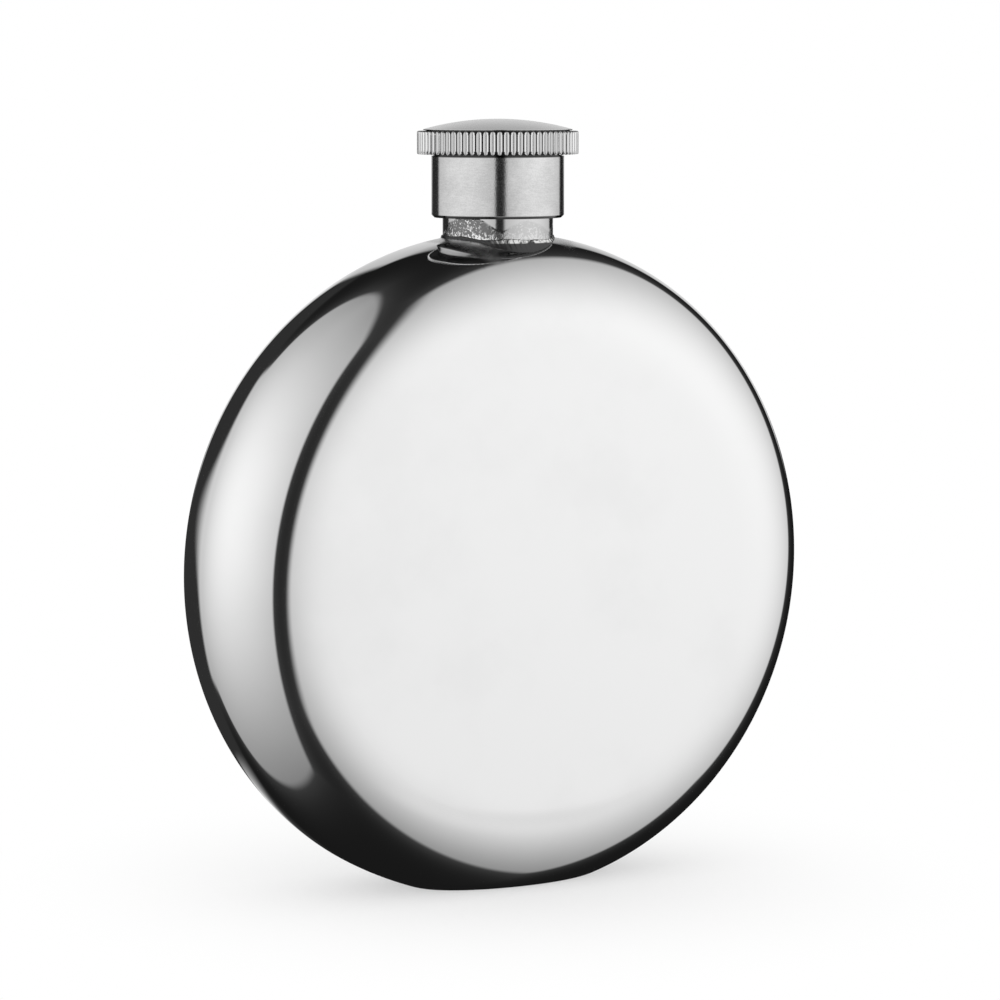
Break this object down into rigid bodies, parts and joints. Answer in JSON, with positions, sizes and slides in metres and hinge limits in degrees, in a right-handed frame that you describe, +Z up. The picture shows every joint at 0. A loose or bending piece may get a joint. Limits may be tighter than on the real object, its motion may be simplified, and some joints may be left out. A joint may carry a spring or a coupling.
{
  "type": "round hip flask",
  "caption": "Round pocket flask: thin mirror-polished steel body with rounded rim and standing flat, short welded neck and a ribbed screw cap that seals the pour opening with a washer.",
  "frame": {"origin": "centre of the standing flat on the bottom of the rim, where the flask rests", "axes": "+Z up along the neck and the cap's axis, +X across the round body, +Y through its thickness with the front face towards -Y"},
  "size_m": [0.1, 0.0292, 0.1148],
  "materials": {
    "mirror_steel": "mirror-polished stainless steel",
    "turned_steel": "turned stainless steel with cleaned weld heat marks",
    "weld_steel": "rippled weld, wire brushed",
    "satin_steel": "fine satin brushed stainless steel",
    "bright_steel": "polished straight knurl",
    "silicone": "matt food-grade silicone"
  },
  "bodies": {
    "flask": {"front_shell": "mirror_steel", "rear_shell": "mirror_steel", "neck_tube": "turned_steel", "neck_weld_bead": "weld_steel"},
    "seal": {"cap_washer": "silicone"},
    "cap": {"cap_skirt": "satin_steel", "cap_grip_ring": "bright_steel", "cap_top_disc": "satin_steel"}
  },
  "joints": [
    {"name": "cap_lift", "type": "slide", "parent": "flask", "child": "seal", "axis": [0, 0, 1], "range_m": [0, 0.01]},
    {"name": "cap_turn", "type": "hinge", "parent": "seal", "child": "cap", "pos_m": [0, 0, 0.105], "axis": [0, 0, 1], "range_deg": [0, 1800]}
  ],
  "couplings": [
    {"joint": "cap_lift", "follows": "cap_turn", "m_per_rad": 0.00031831}
  ]
}
